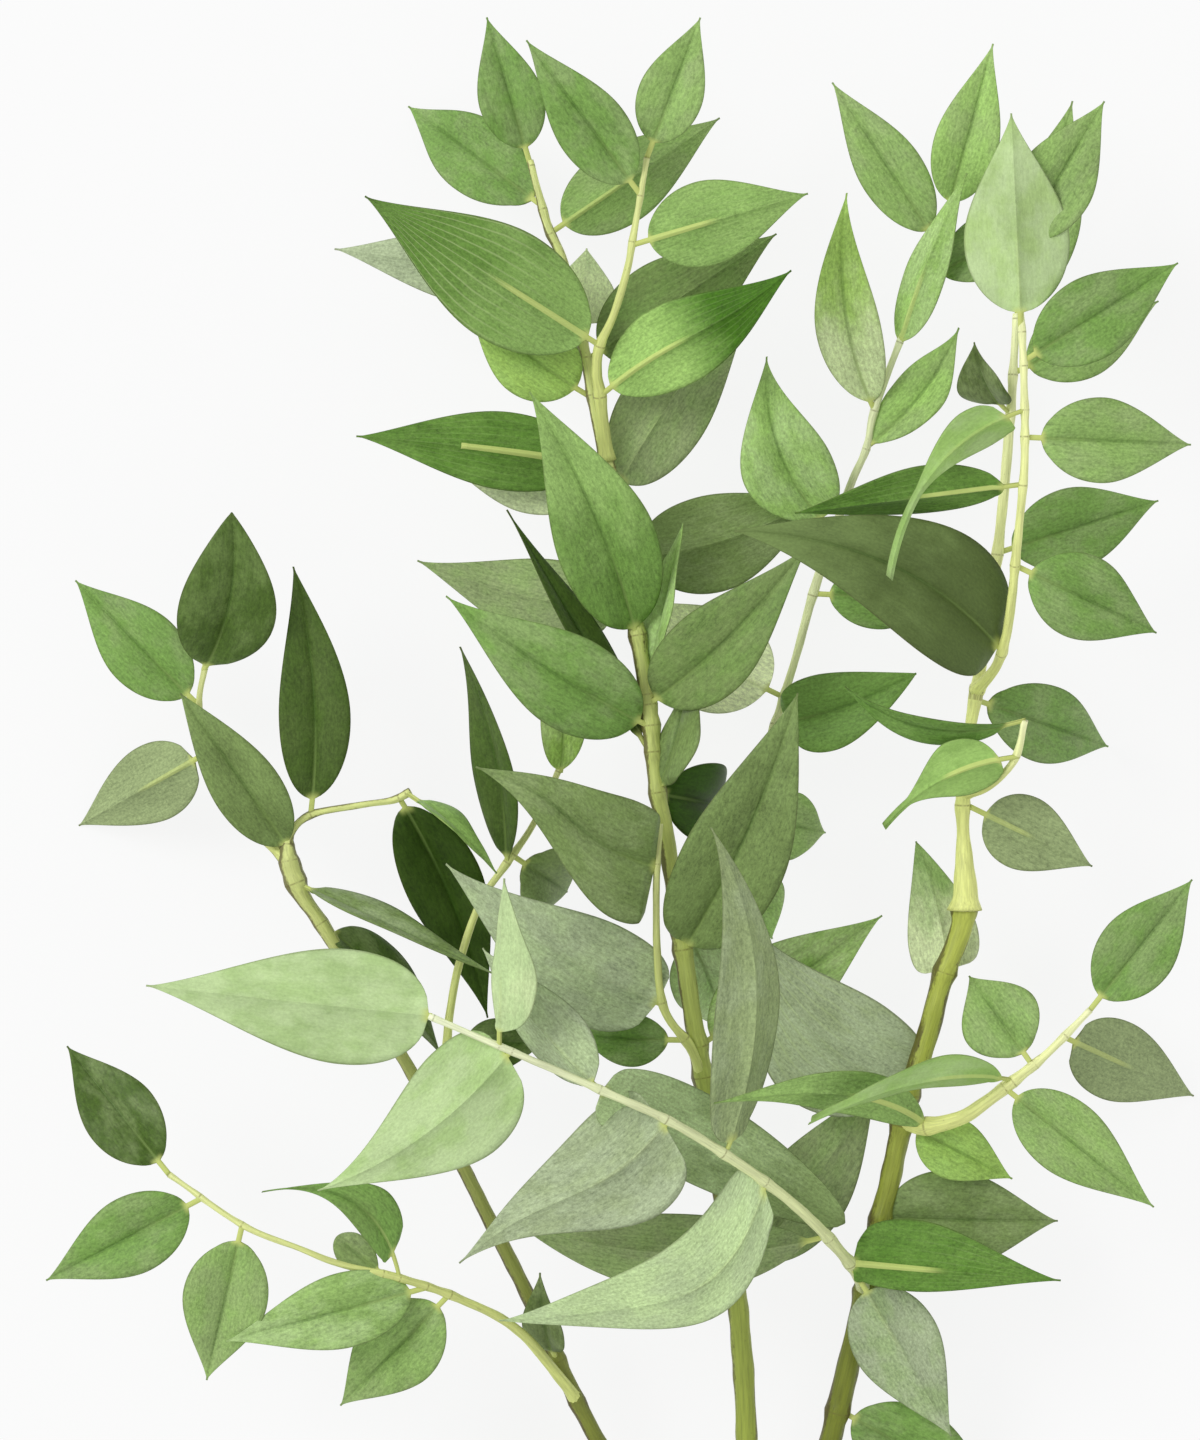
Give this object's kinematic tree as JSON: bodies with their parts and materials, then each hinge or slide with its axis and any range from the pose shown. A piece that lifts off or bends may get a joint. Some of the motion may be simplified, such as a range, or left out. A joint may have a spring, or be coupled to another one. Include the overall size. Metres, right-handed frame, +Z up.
{
  "type": "dried ruscus stem",
  "caption": "Cut ruscus stem that forks into leafy side stems and twigs with pointed ovate leaves; lies on a surface, ready to be put in a vase or an arrangement",
  "frame": {"origin": "on the surface it lies on, below the middle of the whole stem's box", "axes": "+Y along the stem from the cut end to the tips, +X to the right seen from above, +Z up from the surface"},
  "size_m": [0.3467, 0.6553, 0.1194],
  "materials": {
    "main_stem": "matt leaf blades with a fine grain, olive and yellow-green stem",
    "left_stem": "matt leaf blades with a fine grain, olive and yellow-green stem",
    "right_stem": "matt leaf blades with a fine grain, olive and yellow-green stem",
    "top_twig": "matt leaf blades with a fine grain, olive and yellow-green stem",
    "centre_twig": "matt leaf blades with a fine grain, olive and yellow-green stem",
    "right_twig": "matt leaf blades with a fine grain, olive and yellow-green stem",
    "front_twig": "matt leaf blades with a fine grain, olive and yellow-green stem",
    "upper_right_twig": "matt leaf blades with a fine grain, olive and yellow-green stem",
    "lower_right_twig": "matt leaf blades with a fine grain, olive and yellow-green stem",
    "mid_left_twig": "matt leaf blades with a fine grain, olive and yellow-green stem",
    "lower_left_twig": "matt leaf blades with a fine grain, olive and yellow-green stem"
  },
  "bodies": {
    "root": {"main_stem": "main_stem", "left_stem": "left_stem", "right_stem": "right_stem", "top_twig": "top_twig", "centre_twig": "centre_twig", "right_twig": "right_twig", "front_twig": "front_twig", "upper_right_twig": "upper_right_twig", "lower_right_twig": "lower_right_twig", "mid_left_twig": "mid_left_twig", "lower_left_twig": "lower_left_twig"}
  },
  "joints": []
}
